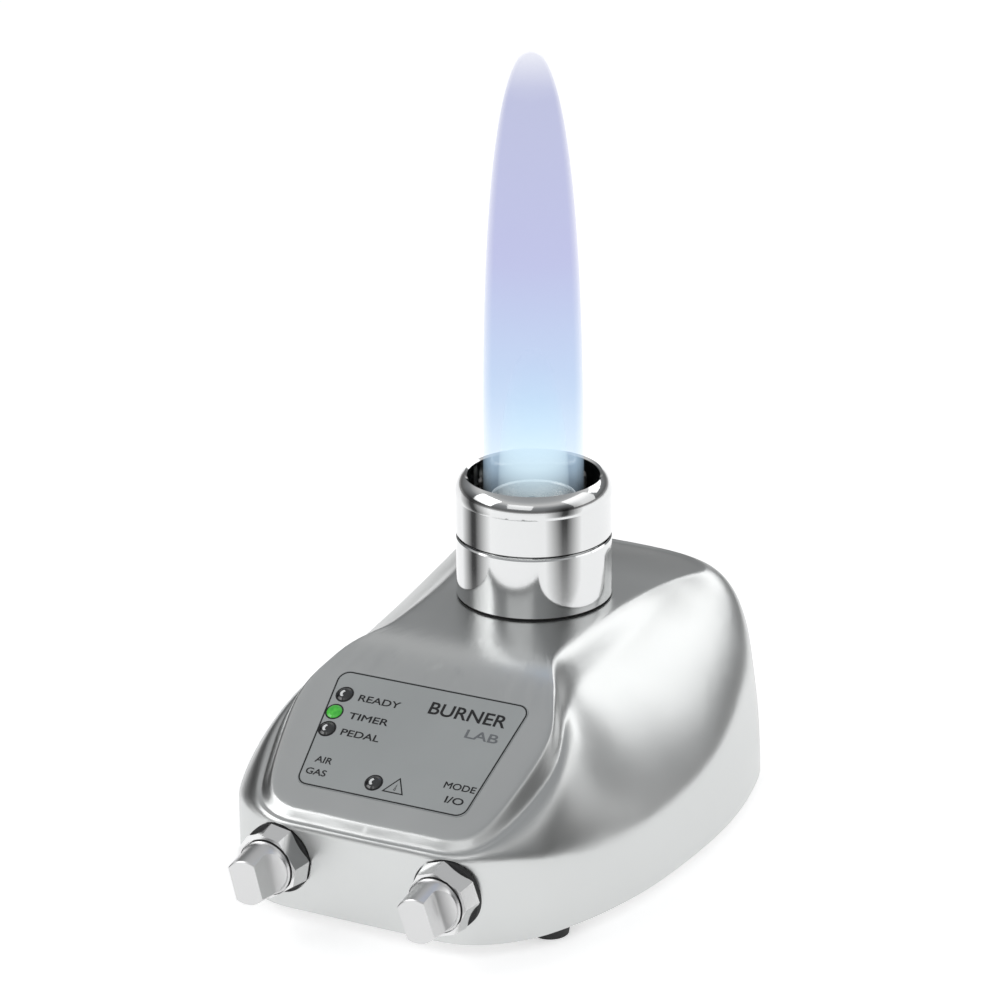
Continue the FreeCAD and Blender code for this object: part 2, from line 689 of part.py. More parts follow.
def make_grip(label, side, twist):
    """Turned knob whose end is cut away at both sides into a pinch grip."""
    body = lathe(label, [
        ("0", "grip_reach"), ("0", "grip_reach - 2"), ("spindle_radius", "grip_reach - 2"),
        ("spindle_radius", "3.1"), ("flange_radius", "3.1"), ("flange_radius", "6"),
        ("flange_radius - 0.3", "6.3"), ("5.2", "grip_reach - 0.25"), ("4.95", "grip_reach")],
        ("0", "0", "0"))
    scoops = new_sketch(body, "grip_scoops", "XZ_Plane")
    for sign in ("", "-"):
        draw_outline(scoops, [(f"{sign}3.35", "grip_reach + 1"), (f"{sign}8", "grip_reach + 1"),
                              (f"{sign}8", "6.9"), (f"{sign}6.2", "6.75"), (f"{sign}3.35", "10.4")],
                     bulges={3: (f"{sign}4.25", "7.95")})
    pocket(body, scoops, both=True)
    at_knob(body, side, twist)


def make_sleeve(label, side):
    """Hollow outer spindle with a cam disc behind the housing wall."""
    at_knob(lathe(label, [
        ("spindle_radius + running_gap", "3"), ("sleeve_radius", "3"), ("sleeve_radius", "-4.5"),
        ("7", "-4.5"), ("7", "-6.5"), ("spindle_radius + running_gap", "-6.5")], ("0", "0", "0")), side)


def make_controls():
    for side, collar, sleeve, grip, spindle, twist in (
            ("-1", "air_ring", "air_spindle", "gas_knob", "gas_spindle", "gas"),
            ("1", "mode_ring", "mode_spindle", "on_off_knob", "switch_spindle", "switch")):
        make_collar(collar, side, COLLAR_TWIST[twist])
        make_sleeve(sleeve, side)
        make_grip(grip, side, GRIP_TWIST[twist])
        tip = "grip_reach - 2.1"
        at_knob(lathe(spindle, [("0", "-20"), ("spindle_radius", "-20"), ("spindle_radius", tip),
                                ("0", tip)], ("0", "0", "0")), side)
    seals = []
    for side in ("-1", "1"):
        at = (f"{side} * knob_offset", "front_y + seal_depth", "knob_height")
        seals.append(cut(
            "knob_seal", cylinder("seal_blank", "seal_radius", "seal_depth + 0.8", at, FRONTWARD),
            cylinder("seal_bore", "sleeve_radius + 0.06", "seal_depth + 2", at, FRONTWARD)))
    group("knob_seals", seals)

    block = new_body("gas_valve_block")
    face = new_sketch(block, "block_face", lift="-31")
    draw_box(face, "-8", "-8", "8", "8")
    pad(block, face, "22")
    for radius, depth in (("spindle_radius + running_gap", "12.6"), ("1.46", "20"), ("1.1", "22")):
        bore = new_sketch(block, "valve_bore", lift="-9")
        draw_circle(bore, 0, 0, radius)
        pocket(block, bore, depth)
    at_knob(block, "-1")
    at_knob(lathe("gas_needle", [("0", "-28.6"), ("0.4", "-28.6"), ("1.4", "-26.5"), ("1.4", "-20.9"),
                                 ("0", "-20.9")], ("0", "0", "0")), "-1")

    switch = new_body("rotary_switch")
    face = new_sketch(switch, "switch_face", lift="-22")
    draw_box(face, "-7", "-7", "7", "7")
    pad(switch, face, "14")
    bore = new_sketch(switch, "switch_bore", lift="-8")
    draw_circle(bore, 0, 0, "spindle_radius + running_gap")
    pocket(switch, bore, "13")
    at_knob(switch, "1")


# ---------------------------------------------------------------- gas path and electrics
def make_pipe(label, height, corner, start, end, bend):
    """Tube at one height that runs along Y, bends once and leaves along X."""
    body = new_body(label)
    spine = new_sketch(body, f"{label}_spine", lift=height)
    (cx, cy), (sx, sy), (ex, ey) = ([value_of(e) for e in point] for point in (corner, start, end))
    along_y = math.copysign(1, cy - sy)
    along_x = math.copysign(1, ex - cx)
    first, last = Vector(cx, cy - along_y * bend, 0), Vector(cx + along_x * bend, cy, 0)
    centre = Vector(last.x, first.y, 0)
    middle = centre + (Vector(cx, cy, 0) - centre).normalize() * bend
    spine.addGeometry(Part.LineSegment(Vector(sx, sy, 0), first))
    spine.addGeometry(Part.Arc(first, middle, last))
    spine.addGeometry(Part.LineSegment(last, Vector(ex, ey, 0)))
    profile = new_sketch(body, f"{label}_profile", "XZ_Plane", lift=-sy)
    for radius in ("2.2", "1.4"):
        draw_circle(profile, sx, height, radius)
    pipe = body.newObject("PartDesign::AdditivePipe", f"{label}_pipe")
    pipe.Profile = profile
    pipe.Spine = (spine, [])
    for sketch in (spine, profile):
        sketch.Visibility = False
    return body


def make_gas_path():
    connector = ("inlet_x", "connector_y", "connector_z")
    barb = "hose_radius"
    lathe("gas_inlet", [
        ("2.2", "-8"), ("5", "-8"), ("5", "0"), ("7.4", "0"), ("7.4", "1.6"), ("5", "2"), (barb, "2.4"),
        (barb, "8.4"), ("3.8", "8.8"), (barb, "11.6"), ("3.8", "12"), (barb, "14.8"), ("3.8", "15.2"),
        (barb, "17.6"), ("3.6", "inlet_end_y - connector_y"), ("2.2", "inlet_end_y - connector_y")],
        connector, REARWARD)
    nut = new_body("inlet_nut")
    hexagon = new_sketch(nut, "nut_hexagon")
    corners = [math.radians(60 * i) for i in range(6)]
    draw_outline(hexagon, [(f"{8 * math.cos(a):.5f}", f"{8 * math.sin(a):.5f}") for a in corners])
    pad(nut, hexagon, "3")
    bore = new_sketch(nut, "nut_bore", lift="3")
    draw_circle(bore, 0, 0, "5.02")
    pocket(nut, bore, "5")
    place(nut, ("inlet_x", "connector_y - connector_thick - 3.05", "connector_z"), REARWARD)
    make_pipe("inlet_pipe", dim("connector_z"), ("inlet_x", "solenoid_y"), ("inlet_x", "connector_y - 8.1"),
              ("solenoid_x + 7.6", "solenoid_y"), 6.0)
    make_pipe("gas_feed_pipe", 9.5, ("-1 * knob_offset", "burner_y"), ("-1 * knob_offset", "front_y + 31.1"),
              ("-6.1", "burner_y"), 6.0)
    start = ("-26", "front_y + 31.1", "12")
    supply = cut("supply_pipe",
                 cylinder("supply_blank", "2.2", "solenoid_y - front_y - 38.7", start, REARWARD),
                 cylinder("supply_bore", "1.4", "80", start, REARWARD))
    publish(supply, "supply_pipe")

    column = ("solenoid_x", "solenoid_y", "plate_bottom + plate_thick")
    corner = ("solenoid_x - 7.5", "solenoid_y - 7.5", "plate_bottom + plate_thick")
    valve = cut("solenoid_valve_body", box("valve_blank", ("15", "15", "13"), corner),
                cylinder("valve_bore", "3 + running_gap", "10",
                         ("solenoid_x", "solenoid_y", "plate_bottom + plate_thick + 8")))
    publish(valve, "solenoid_valve_body")
    lathe("solenoid_coil", [("3 + running_gap", "13.1"), ("7.5", "13.1"), ("7.5", "30"), ("0", "30"),
                            ("0", "28.6"), ("3 + running_gap", "28.6")], column)
    lathe("solenoid_plunger", [("0", "8.1"), ("3", "8.1"), ("3", "23"), ("0", "23")], column)
    lathe("plunger_spring", [("1.6", "23"), ("2.6", "23"), ("2.6", "28.6"), ("1.6", "28.6")], column)


def make_electrics():
    publish(box("ignition_transformer", ("18", "28", "18"), ("16", "6", "plate_bottom + plate_thick")),
            "ignition_transformer")
    plate = box("connector_blank", ("40", "connector_thick", "20"),
                ("-20", "connector_y - connector_thick", "connector_z - 10"))
    holes = fuse("connector_holes", *(
        cylinder("connector_hole", radius, "10", (x, "connector_y - 5", "connector_z"), REARWARD)
        for x, radius in (("inlet_x", "5.03"), ("power_x", "4.03"), ("pedal_x", "3.03"))))
    publish(cut("rear_connector_plate", plate, holes), "rear_connector_plate")
    lathe("power_socket", [("0", "-10"), ("4", "-10"), ("4", "0"), ("5", "0"), ("5", "1.2"), ("2.75", "1.2"),
                           ("2.75", "-8"), ("1", "-8"), ("1", "0.5"), ("0", "0.5")],
          ("power_x", "connector_y", "connector_z"), REARWARD)
    lathe("pedal_socket", [("0", "-12"), ("3", "-12"), ("3", "0"), ("4.2", "0"), ("4.2", "1.2"),
                           ("1.8", "1.2"), ("1.8", "-10"), ("0", "-10")],
          ("pedal_x", "connector_y", "connector_z"), REARWARD)


# ---------------------------------------------------------------- build, check and write
def main():
    outer = make_housing()
    make_base(outer)
    make_panel()
    make_burner()
    make_controls()
    make_gas_path()
    make_electrics()
    doc.recompute()

    problems = [f"{thing.Label}: {thing.State}" for thing in doc.Objects
                if {"Invalid", "Error"} & set(thing.State)]
    problems += [f"{thing.Label}: bad shape" for thing in EXPORTS
                 if thing.Shape.isNull() or not thing.Shape.isValid() or not thing.Shape.Solids]
    if problems:
        raise RuntimeError("; ".join(problems))

    os.makedirs("parts", exist_ok=True)
    for thing in EXPORTS:
        thing.Shape.exportStep(os.path.join("parts", f"{thing.Label}.step"))
    print(f"{len(EXPORTS)} sub-parts written")


main()
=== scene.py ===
"""Looks for the desktop laboratory gas burner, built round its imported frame. Metres, +Z up."""
import json
import math

import bmesh
import bpy
from mathutils import Matrix, Vector


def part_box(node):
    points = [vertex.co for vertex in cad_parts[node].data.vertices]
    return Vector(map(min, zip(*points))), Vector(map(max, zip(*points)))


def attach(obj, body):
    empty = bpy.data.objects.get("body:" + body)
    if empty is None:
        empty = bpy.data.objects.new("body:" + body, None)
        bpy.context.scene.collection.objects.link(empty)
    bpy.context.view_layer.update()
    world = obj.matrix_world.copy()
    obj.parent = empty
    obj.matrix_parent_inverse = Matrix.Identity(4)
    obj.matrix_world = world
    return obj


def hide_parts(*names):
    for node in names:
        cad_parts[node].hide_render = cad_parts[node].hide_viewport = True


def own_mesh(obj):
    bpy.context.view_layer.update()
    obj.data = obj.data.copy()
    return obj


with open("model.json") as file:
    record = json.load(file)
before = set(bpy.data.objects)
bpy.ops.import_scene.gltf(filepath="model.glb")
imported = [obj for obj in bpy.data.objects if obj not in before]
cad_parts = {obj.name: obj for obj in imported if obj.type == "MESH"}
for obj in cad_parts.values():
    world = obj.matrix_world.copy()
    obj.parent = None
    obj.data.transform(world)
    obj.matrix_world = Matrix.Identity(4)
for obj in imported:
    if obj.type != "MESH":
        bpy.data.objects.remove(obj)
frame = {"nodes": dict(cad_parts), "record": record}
for default in ("Cube", "Light", "Camera"):
    if default in bpy.data.objects:
        bpy.data.objects.remove(bpy.data.objects[default])
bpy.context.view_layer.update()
NODES = frame["nodes"]
MM = 0.001


# ---------------------------------------------------------------- camera
AZIMUTH, ELEVATION, ROLL = (math.radians(a) for a in (27.12, 20.94, -0.5426))
EYE = Vector((378.85, -738.69, 397.03)) * MM
FOCAL_LENGTH, SENSOR_WIDTH = 141.94, 36.0


def make_camera():
    data = bpy.data.cameras.new("camera")
    data.lens, data.sensor_width = FOCAL_LENGTH, SENSOR_WIDTH
    camera = bpy.data.objects.new("camera", data)
    back = Vector((math.sin(AZIMUTH) * math.cos(ELEVATION),
                   -math.cos(AZIMUTH) * math.cos(ELEVATION), math.sin(ELEVATION)))
    right = Vector((math.cos(AZIMUTH), math.sin(AZIMUTH), 0))
    up = back.cross(right)
    across = math.cos(ROLL) * right + math.sin(ROLL) * up
    upward = math.cos(ROLL) * up - math.sin(ROLL) * right
    camera.matrix_world = Matrix.Translation(EYE) @ Matrix((across, upward, back)).transposed().to_4x4()
    bpy.context.collection.objects.link(camera)
    bpy.context.scene.camera = camera


make_camera()


# ---------------------------------------------------------------- node helpers
class Nodes:
    """Small wrapper that adds and wires the nodes of one tree."""

    def __init__(self, tree):
        self.tree = tree

    def add(self, kind, inputs=None, **settings):
        node = self.tree.nodes.new(kind)
        for key, value in settings.items():
            setattr(node, key, value)
        for key, value in (inputs or {}).items():
            self.feed(value, node.inputs[key])
        return node

    def feed(self, value, socket):
        if isinstance(value, bpy.types.NodeSocket):
            self.tree.links.new(value, socket)
        else:
            socket.default_value = value

    def coords(self, stretch):
        place = self.add("ShaderNodeTexCoord").outputs["Object"]
        return self.add("ShaderNodeMapping", {"Vector": place, "Scale": stretch}).outputs[0]

    def noise(self, scale, detail, stretch=(1, 1, 1)):
        inputs = {"Vector": self.coords(stretch), "Scale": scale, "Detail": detail}
        return self.add("ShaderNodeTexNoise", inputs).outputs["Fac"]

    def ramp(self, value, low, high, start, end):
        inputs = {"Value": value, "From Min": start, "From Max": end, "To Min": low, "To Max": high}
        return self.add("ShaderNodeMapRange", inputs).outputs["Result"]

    def colour_ramp(self, value, stops):
        """Colour ramp node through (position, colour) stops."""
        node = self.add("ShaderNodeValToRGB", {"Fac": value})
        elements = node.color_ramp.elements
        while len(elements) < len(stops):
            elements.new(0.5)
        for element, (position, colour) in zip(elements, stops):
            element.position = position
            element.color = (*colour, 1.0) if len(colour) == 3 else colour
        return node

    def colours(self, value, stops):
        return self.colour_ramp(value, stops).outputs["Color"]

    def bump(self, height, strength, distance):
        inputs = {"Height": height, "Strength": strength, "Distance": distance}
        return self.add("ShaderNodeBump", inputs).outputs["Normal"]


def shade(colour, factor):
    return tuple(min(1.0, c * factor) for c in colour)


PATCH_SCALE = 55.0                 # soft patches of colour, per metre
GRAIN_STRENGTH = 0.5


def surface(name, colour, spread, roughness, grain, relief, metallic=0.0, stretch=(1, 1, 1), **constants):
    """Principled material. The colour varies by spread over large soft patches, the roughness runs
    between two limits, and grain and relief are the scale and depth of the fine surface texture."""
    material = bpy.data.materials.new(name)
    material.use_nodes = True
    nodes = Nodes(material.node_tree)
    shader = material.node_tree.nodes["Principled BSDF"]
    shader.inputs["Metallic"].default_value = metallic
    for key, value in constants.items():
        shader.inputs[key.replace("_", " ")].default_value = value
    patches = nodes.noise(PATCH_SCALE, 3.0)
    fine = nodes.noise(grain, 4.0, stretch)
    stops = [(0.3, shade(colour, 1 - spread)), (0.7, shade(colour, 1 + spread))]
    nodes.feed(nodes.colours(patches, stops), shader.inputs["Base Color"])
    both = nodes.add("ShaderNodeMath", {0: patches, 1: fine}, operation="ADD").outputs[0]
    nodes.feed(nodes.ramp(both, *roughness, 0.75, 1.25), shader.inputs["Roughness"])
    nodes.feed(nodes.bump(fine, GRAIN_STRENGTH, relief), shader.inputs["Normal"])
    return material


# ---------------------------------------------------------------- materials, one for each slot
def satin_housing(name):
    return surface(name, (0.64, 0.65, 0.645), 0.015, (0.30, 0.34), 3200.0, 0.0000006, 1.0)


def plain_sheet(name):
    return surface(name, (0.56, 0.56, 0.56), 0.04, (0.30, 0.42), 900.0, 0.00001, 1.0, (1, 14, 14))


def mirror_steel(name):
    return surface(name, (0.72, 0.725, 0.725), 0.01, (0.06, 0.10), 1400.0, 0.0000005, 1.0)


def turned_tube(name):
    return surface(name, (0.50, 0.48, 0.45), 0.10, (0.22, 0.36), 1200.0, 0.00001, 1.0, (1, 1, 12))


def satin_knob(name):
    return surface(name, (0.66, 0.66, 0.66), 0.015, (0.28, 0.36), 1100.0, 0.0000004, 1.0)


def bright_collar(name):
    return surface(name, (0.76, 0.76, 0.76), 0.015, (0.09, 0.15), 1800.0, 0.000001, 1.0)


def label_film(name):
    return surface(name, (0.46, 0.48, 0.48), 0.02, (0.38, 0.46), 3000.0, 0.000001, 0.55)


def black_rubber(name):
    return surface(name, (0.020, 0.020, 0.021), 0.15, (0.55, 0.75), 1500.0, 0.00004)


def black_plastic(name):
    return surface(name, (0.022, 0.022, 0.024), 0.10, (0.35, 0.50), 1800.0, 0.00003)


def dark_gasket(name):
    return surface(name, (0.016, 0.016, 0.016), 0.20, (0.60, 0.80), 1100.0, 0.00003)


def dark_lens(name):
    return surface(name, (0.012, 0.013, 0.014), 0.10, (0.05, 0.10), 900.0, 0.000002, Coat_Weight=1.0)


def lit_lens(name):
    material = surface(name, (0.03, 0.30, 0.03), 0.12, (0.12, 0.20), 900.0, 0.000004, Coat_Weight=0.6)
    nodes = Nodes(material.node_tree)
    shader = material.node_tree.nodes["Principled BSDF"]
    glow = nodes.colours(nodes.noise(700.0, 2.0), [(0.35, (0.03, 0.40, 0.02)), (0.65, (0.15, 0.85, 0.08))])
    nodes.feed(glow, shader.inputs["Emission Color"])
    shader.inputs["Emission Strength"].default_value = 0.32
    return material


def circuit_green(name):
    return surface(name, (0.02, 0.16, 0.06), 0.20, (0.25, 0.40), 800.0, 0.00001)


def clear_epoxy(name):
    return surface(name, (0.80, 0.82, 0.80), 0.03, (0.08, 0.14), 700.0, 0.000003, Transmission_Weight=0.7)


def white_nylon(name):
    return surface(name, (0.78, 0.78, 0.75), 0.04, (0.40, 0.55), 900.0, 0.00001)


def glazed_alumina(name):
    return surface(name, (0.82, 0.81, 0.77), 0.04, (0.15, 0.28), 900.0, 0.000008, Coat_Weight=0.4)


def machined_brass(name):
    return surface(name, (0.70, 0.50, 0.20), 0.08, (0.20, 0.34), 1100.0, 0.000008, 1.0)


def nickel_plate(name):
    return surface(name, (0.70, 0.68, 0.63), 0.04, (0.14, 0.24), 1200.0, 0.000005, 1.0)


def drawn_copper(name):
    return surface(name, (0.72, 0.38, 0.24), 0.10, (0.22, 0.38), 900.0, 0.000008, 1.0)


def zinc_plate(name):
    return surface(name, (0.62, 0.63, 0.66), 0.05, (0.24, 0.36), 1000.0, 0.000008, 1.0)


def oxidised_wire(name):
    return surface(name, (0.36, 0.33, 0.31), 0.18, (0.32, 0.50), 1300.0, 0.00001, 1.0)


def spring_wire(name):
    return surface(name, (0.52, 0.52, 0.54), 0.06, (0.20, 0.30), 1400.0, 0.000004, 1.0)


def panel_ink(name):
    return surface(name, (0.008, 0.008, 0.009), 0.15, (0.50, 0.65), 2600.0, 0.000002)


def grey_ink(name):
    return surface(name, (0.16, 0.17, 0.18), 0.10, (0.35, 0.50), 2600.0, 0.000002)


# pale finish of the painted highlight crescents on the lamp lenses
def lens_glint_paint(name):
    return surface(name, (0.80, 0.82, 0.82), 0.03, (0.30, 0.45), 2600.0, 0.000002)


RECIPES = {
    "brushed_housing": satin_housing, "plate_steel": plain_sheet, "polished_steel": mirror_steel,
    "tube_steel": turned_tube, "knob_silver": satin_knob, "collar_steel": bright_collar,
    "label_film": label_film, "rubber_black": black_rubber, "plastic_black": black_plastic,
    "gasket_graphite": dark_gasket, "lamp_clear": dark_lens, "lamp_green": lit_lens,
    "board_green": circuit_green, "led_clear": clear_epoxy, "nylon_white": white_nylon,
    "ceramic_white": glazed_alumina, "brass": machined_brass, "nickel_brass": nickel_plate,
    "copper": drawn_copper, "zinc_steel": zinc_plate, "electrode_steel": oxidised_wire,
    "spring_steel": spring_wire,
}
FINISHES = {slot: recipe(f"{slot}_finish") for slot, recipe in RECIPES.items()}
INK, GREY_INK, PAINTED_LENS_GLINT = panel_ink("ink"), grey_ink("ink_grey"), lens_glint_paint("painted_glint_finish")


def dress_nodes():
    """Give every node the finish of its slot in the record."""
    for entry in frame["record"]["subparts"]:
        node = NODES[entry["node"]]
        for slot in node.material_slots:
            slot.material = FINISHES[entry["material_slot"]]


def soften_edges():
    """Small rounded edges on the two faceted collars."""
    for name in ("air_ring", "mode_ring"):
        bevel = NODES[name].modifiers.new("edge", "BEVEL")
        bevel.width = 0.22 * MM
        bevel.segments = 3
        bevel.limit_method = "ANGLE"
        bevel.angle_limit = math.radians(22)
        bevel.harden_normals = True


dress_nodes()
soften_edges()


# ---------------------------------------------------------------- mesh helpers
def finish_piece(name, mesh, material):
    """Link a mesh as a piece of the appliance body, in one material."""
    piece = bpy.data.objects.new(name, mesh)
    bpy.context.collection.objects.link(piece)
    mesh.materials.clear()
    mesh.materials.append(material)
    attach(piece, "appliance")
    return piece


# ---------------------------------------------------------------- printed panel, and painted highlights on the lamp lenses
SLOPE = math.radians(30)
LABEL_LOW, LABEL_HIGH = (Vector(corner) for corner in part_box("panel_label"))
LABEL_THICK = 0.25 * MM
UP_SLOPE = Vector((0, math.cos(SLOPE), math.sin(SLOPE)))
OUTWARD = Vector((0, -math.sin(SLOPE), math.cos(SLOPE)))
LABEL_MIDDLE = (LABEL_LOW + LABEL_HIGH) / 2 + OUTWARD * LABEL_THICK / 2
PANEL_TURN = Matrix((Vector((1, 0, 0)), UP_SLOPE, OUTWARD)).transposed().to_4x4()
PANEL = Matrix.Translation(LABEL_MIDDLE) @ PANEL_TURN
INK_THICK = 0.02                   # mm, like all panel sizes below
PANEL_TOP, PANEL_FOOT, PANEL_REACH, PANEL_CORNER = 23.75, 20.6, 15.55, 2.5


def on_panel(name, mesh, material):
    """Turn a mesh drawn in millimetres across and along the panel into a printed piece."""
    mesh.transform(Matrix.Scale(MM, 4))
    mesh.transform(PANEL)
    return finish_piece(name, mesh, material)


def thicken(bm):
    """Raise flat faces into a thin film of ink."""
    bmesh.ops.recalc_face_normals(bm, faces=bm.faces)
    if sum(f.normal.z for f in bm.faces) < 0:
        bmesh.ops.reverse_faces(bm, faces=bm.faces)
    lifted = bmesh.ops.extrude_face_region(bm, geom=bm.faces[:])
    tops = [e for e in lifted["geom"] if isinstance(e, bmesh.types.BMVert)]
    bmesh.ops.translate(bm, verts=tops, vec=(0, 0, INK_THICK))


def mesh_of(bm, name):
    mesh = bpy.data.meshes.new(name)
    bm.to_mesh(mesh)
    bm.free()
    return mesh


def stroke(name, points, width, material):
    """Closed line of even width through (x, y) points."""
    bm = bmesh.new()
    count = len(points)
    rings = []
    for index, point in enumerate(points):
        here = Vector(point)
        ahead = (Vector(points[(index + 1) % count]) - here).normalized()
        behind = (here - Vector(points[index - 1])).normalized()
        side = Vector((-(ahead + behind).y, (ahead + behind).x)).normalized()
        reach = width / 2 / max(0.3, side.dot(Vector((-ahead.y, ahead.x))))
        rings.append([bm.verts.new((*(here + side * reach * sign), 0)) for sign in (-1, 1)])
    for index, (inner, outer) in enumerate(rings):
        following = rings[(index + 1) % count]
        bm.faces.new((inner, outer, following[1], following[0]))
    thicken(bm)
    return on_panel(name, mesh_of(bm, name), material)


def arc(centre, radius, start, end, steps):
    """Points of an arc from a start angle to an end angle, in degrees."""
    angles = (math.radians(start + (end - start) * i / steps) for i in range(steps + 1))
    return [(centre[0] + radius * math.cos(a), centre[1] + radius * math.sin(a)) for a in angles]


def word(name, text, left, middle, width, height, material):
    """Generic word that fills a box of the given width and cap height."""
    curve = bpy.data.curves.new(name, "FONT")
    curve.body = text
    curve.extrude = INK_THICK / 2
    curve.bevel_depth = 0.014
    curve.bevel_resolution = 0
    carrier = bpy.data.objects.new(name, curve)
    bpy.context.collection.objects.link(carrier)
    mesh = bpy.data.meshes.new_from_object(carrier.evaluated_get(bpy.context.evaluated_depsgraph_get()))
    bpy.data.objects.remove(carrier)
    low = Vector(min(v.co[i] for v in mesh.vertices) for i in range(3))
    high = Vector(max(v.co[i] for v in mesh.vertices) for i in range(3))
    for vertex in mesh.vertices:
        vertex.co.x = left + (vertex.co.x - low.x) / (high.x - low.x) * width
        vertex.co.y = middle + ((vertex.co.y - low.y) / (high.y - low.y) - 0.5) * height
        vertex.co.z -= low.z
    return on_panel(name, mesh, material)


def rounded_quad(corners, radius):
    """Outline of a convex quadrilateral with rounded corners, clockwise from the upper left."""
    points = []
    for index, corner in enumerate(corners):
        here = Vector(corner)
        last = (Vector(corners[index - 1]) - here).normalized()
        following = (Vector(corners[(index + 1) % len(corners)]) - here).normalized()
        half = last.angle(following) / 2
        centre = here + (last + following).normalized() * radius / math.sin(half)
        first = here + last * radius / math.tan(half) - centre
        sweep = math.pi - 2 * half
        for step in range(9):
            turn = -sweep * step / 8
            points.append((centre.x + first.x * math.cos(turn) - first.y * math.sin(turn),
                           centre.y + first.x * math.sin(turn) + first.y * math.cos(turn)))
    return points


def print_panel():
    """Border, words and heat mark. A word is placed by its left end, middle height, width and cap height."""
    outline = [(-PANEL_TOP, PANEL_REACH), (PANEL_TOP, PANEL_REACH),
               (PANEL_FOOT, -PANEL_REACH), (-PANEL_FOOT, -PANEL_REACH)]
    stroke("panel_border", rounded_quad(outline, PANEL_CORNER), 0.36, INK)
    rows = (("row_ready", "READY", -16.4, 9.3, 10.4), ("row_timer", "TIMER", -16.6, 4.2, 10.0),
            ("row_pedal", "PEDAL", -16.4, -0.4, 9.6))
    for name, text, left, middle, width in rows:
        word(name, text, left, middle, width, 1.75, INK)
    word("title", "BURNER", 1.0, 10.4, 19.0, 3.3, INK)
    word("title_second", "LAB", 12.0, 5.6, 8.0, 2.3, GREY_INK)
    word("caption_air", "AIR", -19.0, -8.6, 4.2, 1.7, INK)
    word("caption_gas", "GAS", -19.8, -12.0, 5.0, 1.7, INK)
    word("caption_mode", "MODE", 13.0, -8.4, 7.6, 1.7, INK)
    word("caption_switch", "I/O", 14.8, -12.0, 4.4, 1.8, INK)
    stroke("heat_mark", [(-0.1, -13.2), (4.7, -13.2), (2.5, -9.3)], 0.30, INK)
    stroke("heat_mark_drop", [(2.2, -12.5), (2.6, -12.5), (2.5, -11.0)], 0.12, INK)


LAMP_NODES = ("status_lamp_upper", "status_lamp_middle", "status_lamp_lower", "warning_lamp")
LENS_RISE = 0.36                   # the painted highlight crescents lie on the lenses, this far above the label


def lamp_details():
    """Dark printed ring round each lamp, and on the unlit ones a pale crescent of painted highlight, the
    glint on the glossy lens.
    """
    to_panel = PANEL.inverted()
    for name in LAMP_NODES:
        low, high = (Vector(corner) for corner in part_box(name))
        middle = to_panel @ ((low + high) / 2) / MM
        stroke(f"{name}_ring", arc(middle, 1.98, 0, 352, 44), 0.34, INK)
        if name != "status_lamp_middle":
            # painted highlight: a pale crescent stands in for the glint of light on each dark glossy lens
            inner = arc((middle.x + 0.25, middle.y), 0.62, 250, 110, 10)
            outer = arc((middle.x - 0.05, middle.y), 0.95, 110, 250, 10)
            bm = bmesh.new()
            bm.faces.new([bm.verts.new((*p, 0)) for p in inner + outer])
            thicken(bm)
            crescent = f"{name}_crescent"
            piece = on_panel(crescent, mesh_of(bm, crescent), PAINTED_LENS_GLINT)
            piece.data.transform(Matrix.Translation(OUTWARD * LENS_RISE * MM))


print_panel()
lamp_details()


# ---------------------------------------------------------------- return spring
def make_spring():
    """Wound wire in place of the plain sleeve."""
    low, high = (Vector(corner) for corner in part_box("plunger_spring"))
    centre = (low + high) / 2
    wire = 0.5 * MM
    radius = (high.x - low.x) / 2 - wire / 2
    turns, steps = 5, 28
    curve = bpy.data.curves.new("spring_path", "CURVE")
    curve.dimensions = "3D"
    curve.bevel_depth = wire / 2
    curve.bevel_resolution = 3
    spline = curve.splines.new("POLY")
    count = turns * steps
    spline.points.add(count)
    rise = high.z - low.z - wire
    for index in range(count + 1):
        angle = 2 * math.pi * index / steps
        x = centre.x + radius * math.cos(angle)
        y = centre.y + radius * math.sin(angle)
        spline.points[index].co = (x, y, low.z + wire / 2 + rise * index / count, 1)
    carrier = bpy.data.objects.new("spring_path", curve)
    bpy.context.collection.objects.link(carrier)
    mesh = bpy.data.meshes.new_from_object(carrier.evaluated_get(bpy.context.evaluated_depsgraph_get()))
    bpy.data.objects.remove(carrier)
    spring = finish_piece("return_spring", mesh, FINISHES["spring_steel"])
    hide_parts("plunger_spring")
    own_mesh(spring)


make_spring()


# ---------------------------------------------------------------- flame, part of the setting
HEAD_LOW, HEAD_HIGH = (Vector(corner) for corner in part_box("burner_head"))
BURNER = Vector(((HEAD_LOW.x + HEAD_HIGH.x) / 2, (HEAD_LOW.y + HEAD_HIGH.y) / 2, 0))


def flame_material(name, stops, strength, edge):
    """Glowing veil: colours run up the flame, the outline fades out, and the tip and foot thin away."""
    material = bpy.data.materials.new(name)
    material.use_nodes = True
    tree = material.node_tree
    tree.nodes.clear()
    nodes = Nodes(tree)
    place = nodes.add("ShaderNodeTexCoord").outputs["Generated"]
    height = nodes.add("ShaderNodeSeparateXYZ", {0: place}).outputs["Z"]
    ramp = nodes.colour_ramp(height, stops)
    facing = nodes.add("ShaderNodeLayerWeight", {"Blend": 0.5}).outputs["Facing"]
    veil = nodes.ramp(facing, 1.0, 0.0, edge, 1.0)
    alpha = nodes.add("ShaderNodeMath", {0: veil, 1: ramp.outputs["Alpha"]}, operation="MULTIPLY").outputs[0]
    glow = nodes.add("ShaderNodeEmission", {"Color": ramp.outputs["Color"], "Strength": strength})
    clear = nodes.add("ShaderNodeBsdfTransparent")
    mixed = nodes.add("ShaderNodeMixShader", {0: alpha, 1: clear.outputs[0], 2: glow.outputs[0]})
    nodes.add("ShaderNodeOutputMaterial", {"Surface": mixed.outputs[0]})
    return material


